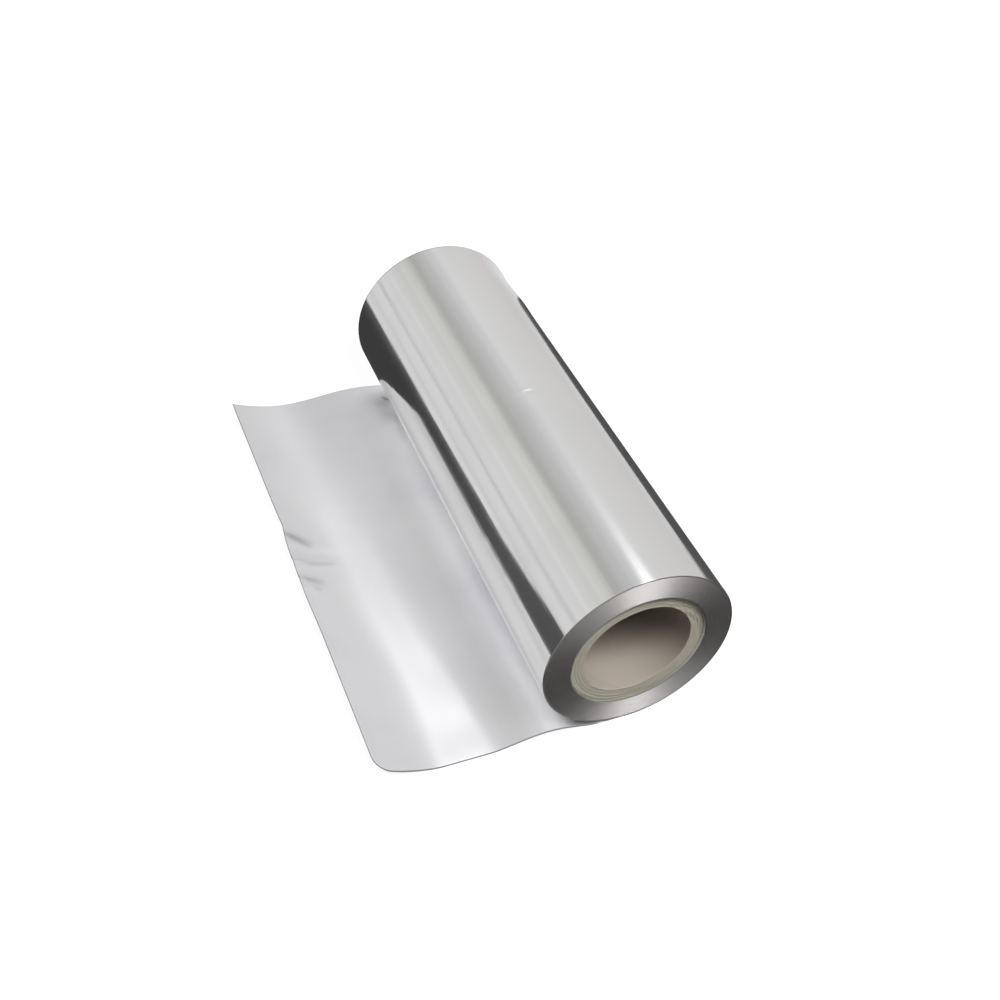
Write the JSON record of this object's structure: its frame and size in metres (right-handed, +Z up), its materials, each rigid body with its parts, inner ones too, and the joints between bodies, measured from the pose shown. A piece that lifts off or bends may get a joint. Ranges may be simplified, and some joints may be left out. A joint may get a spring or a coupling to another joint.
{
  "type": "aluminium foil roll",
  "caption": "Wide roll of aluminium foil on a paper core, lying on its side with a short length drawn off flat along the floor.",
  "frame": {"origin": "on the axis of the core's bore, halfway along the roll", "axes": "+Y along the bore's axis, +Z up, and the drawn-off sheet lies towards -X"},
  "size_m": [0.2432, 0.385, 0.1338],
  "materials": {
    "foil": "bright rolled, near mirror",
    "core_paper": "plain wound paperboard"
  },
  "bodies": {
    "root": {"paper_core": "core_paper", "foil_web": "foil"}
  },
  "joints": []
}
